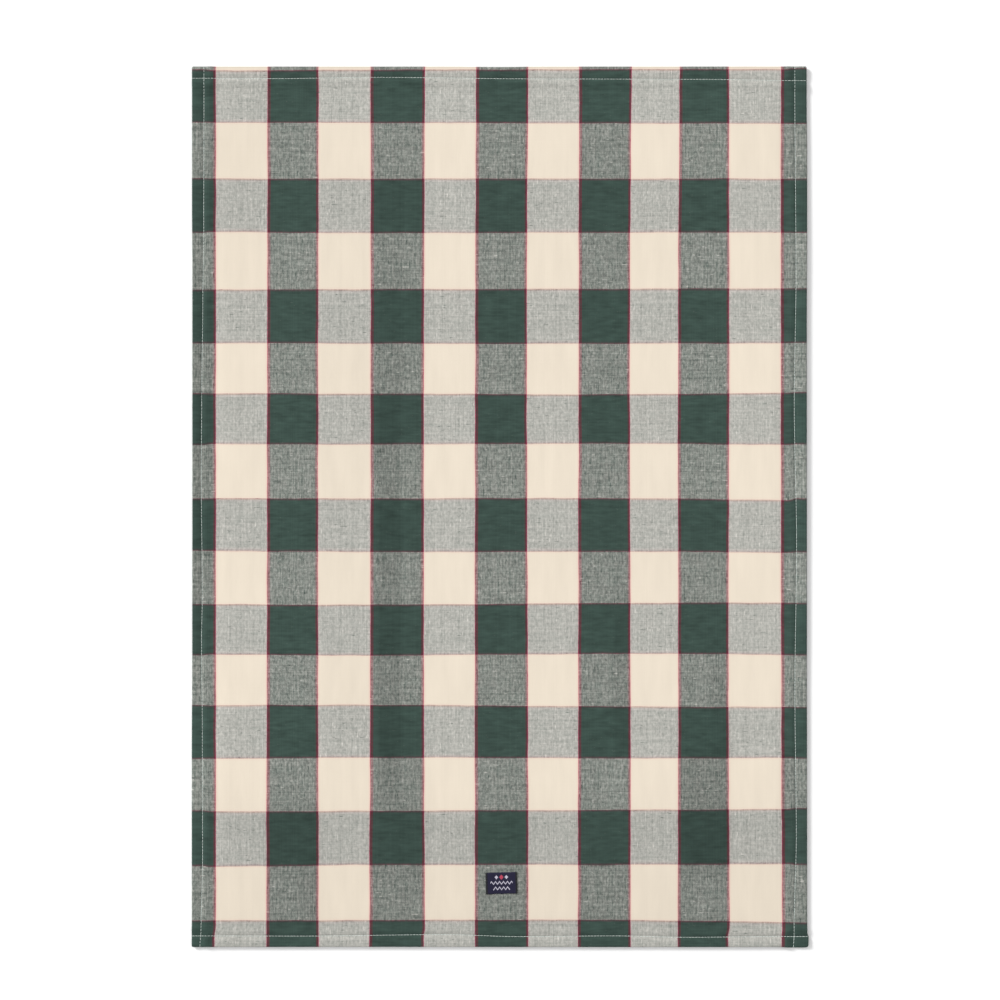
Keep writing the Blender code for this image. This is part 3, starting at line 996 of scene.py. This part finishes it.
def makeLabelMaterial():
    material, tree, shader = newMaterial("navy label weave")
    grid = partsOf(addNode(tree, "ShaderNodeUVMap", uv_map="weaveGrid")[0])
    weave = nodeFrom("ShaderNodeGroup", {
        "Ends": times(grid[0], label["yarnsPerMm"]), "Picks": times(grid[1], label["yarnsPerMm"]),
        "Warp Width": label["warpWidth"], "Weft Width": label["weftWidth"]}, node_tree=weaveGroup)
    fine = ornament["threadsPerMm"]
    x, y = (divided(floor(times(grid[k], fine)), fine) for k in (0, 1))
    offX = calc("ABSOLUTE", x)

    def zigzag(centre, reach, period, height, thick):
        rise = calc("PINGPONG", divided(x, period / 2), 1.0)
        line = timesPlus(rise, height, centre - height / 2)
        return times(below(apart(y, line), thick), below(offX, reach))

    def lozenge(row):
        across = divided(apart(offX, row["x"]), row["wide"])
        up = divided(apart(y, row["y"]), row["tall"])
        return below(plus(across, up), 1.0)

    upper, lower = (zigzag(row["y"], row["reach"], **ornament["zigzag"]) for row in ornament["zigzags"])
    light = larger(larger(upper, lower), lozenge(ornament["lights"]))
    red = lozenge(ornament["red"])
    band = above(offX, (label["width"] / 2 - label["selvedgeWidth"]) * 1000)
    ground = scaled(blendColour(band, label["navy"], label["selvedge"]),
                    timesPlus(weave["Weft Shows"], *label["shade"]))
    height = plus(weave["Relief"], times(larger(light, red), label["raised"]))
    feed(shader, {
        "Base Color": blendColour(red, blendColour(light, ground, label["light"]), label["red"]),
        "Normal": bumpOf(height, label["reliefDepth"], label["reliefStrength"]),
        **label["finish"],
    })
    return material


def labelSeams():
    lines = []
    for end in (-1, 1):
        y = np.linspace(-0.5, 0.5, 30) * (label["height"] - 2 * label["seamEnds"])
        x = np.full_like(y, end * (label["width"] / 2 - label["seamInset"]))
        placeX, placeY, ground = onCloth(x, y)
        z = ground + 2 * label["foldRadius"] * label["layer"] + label["threadOff"]
        lines.append(np.stack([placeX, placeY, z], -1))
    return lines


clothPiece, flatCut = makeTowel(makeClothMaterial())
hemTree = makeStitchTree("hem", hemThread["colour"], hemThread["face"])
faceStitches = stitchAlong("hem_stitches_face", seamLines(True), hemTree)
backStitches = stitchAlong("hem_stitches_back", seamLines(False), hemTree, hemThread["back"])

labelPiece, labelCut = makeLabel(makeLabelMaterial())
labelTree = makeStitchTree("label", label["thread"], label["stitch"])
labelStitches = stitchAlong("label_stitches", labelSeams(), labelTree)

for piece in (clothPiece, faceStitches, backStitches):
    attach(piece, "root")
for piece in (labelPiece, labelStitches):
    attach(piece, "root")
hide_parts("towel_cloth")
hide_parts("woven_label")
print("pieces declared")


studio = {
    "tableSize": 4.0,
    "table": (0.95, 0.95, 0.95, 1.0),
    "surround": 0.725,
    "keyTravel": (0.80, -0.60),  # the light comes over the towel's upper left corner
    "keyRise": 20.0,
    "keyDistance": 40.0,
    "keySize": 12.0,
    "keyShare": 0.455,  # what the key adds on a white level surface
}


def makeTable():
    half = studio["tableSize"] / 2
    corners = [(-half, -half, 0), (half, -half, 0), (half, half, 0), (-half, half, 0)]
    mesh = bpy.data.meshes.new("table")
    mesh.from_pydata(corners, [], [(0, 1, 2, 3)])
    material, tree, shader = newMaterial("pale table")
    feed(shader, {"Base Color": studio["table"], "Roughness": 1.0, "Specular IOR Level": 0.0})
    addPiece("table", mesh, material)


def makeLights():
    rise, far = np.radians(studio["keyRise"]), studio["keyDistance"]
    travelX, travelY = studio["keyTravel"]
    key = bpy.data.lights.new("key", "AREA")
    key.shape = "DISK"
    key.size = studio["keySize"]
    spread = far ** 2 + (studio["keySize"] / 2) ** 2
    key.energy = studio["keyShare"] * np.pi ** 2 * spread / np.sin(rise)
    lamp = addObject("key", key)
    lamp.location = (-travelX * far * np.cos(rise), -travelY * far * np.cos(rise), far * np.sin(rise))
    toward = -lamp.location.normalized()
    lamp.rotation_euler = toward.to_track_quat("-Z", "Y").to_euler()
    world = bpy.data.worlds.new("studio")
    world.use_nodes = True
    feed(world.node_tree.nodes["Background"], {0: (1.0, 1.0, 1.0, 1.0), 1: studio["surround"]})
    scene.world = world
    scene.view_settings.view_transform = "Standard"


# Straight down over the middle of the photograph, 0.8 mm to a pixel
view = {
    "lens": 100.0,
    "sensor": 36.0,
    "framed": 0.8,
    "lookX": 0.00032,
    "lookY": 0.00538,
    "focusHeight": 0.0018,  # where the scale is true
    "sight": 50.0,
}


def makeCamera():
    data = bpy.data.cameras.new("camera")
    data.lens, data.sensor_width = view["lens"], view["sensor"]
    data.clip_end = view["sight"]
    camera = addObject("camera", data)
    height = view["framed"] * view["lens"] / view["sensor"] + view["focusHeight"]
    camera.location = (view["lookX"] - middleX, view["lookY"] - middleY, height)
    scene.camera = camera


makeTable()
makeLights()
makeCamera()
print("studio ready")
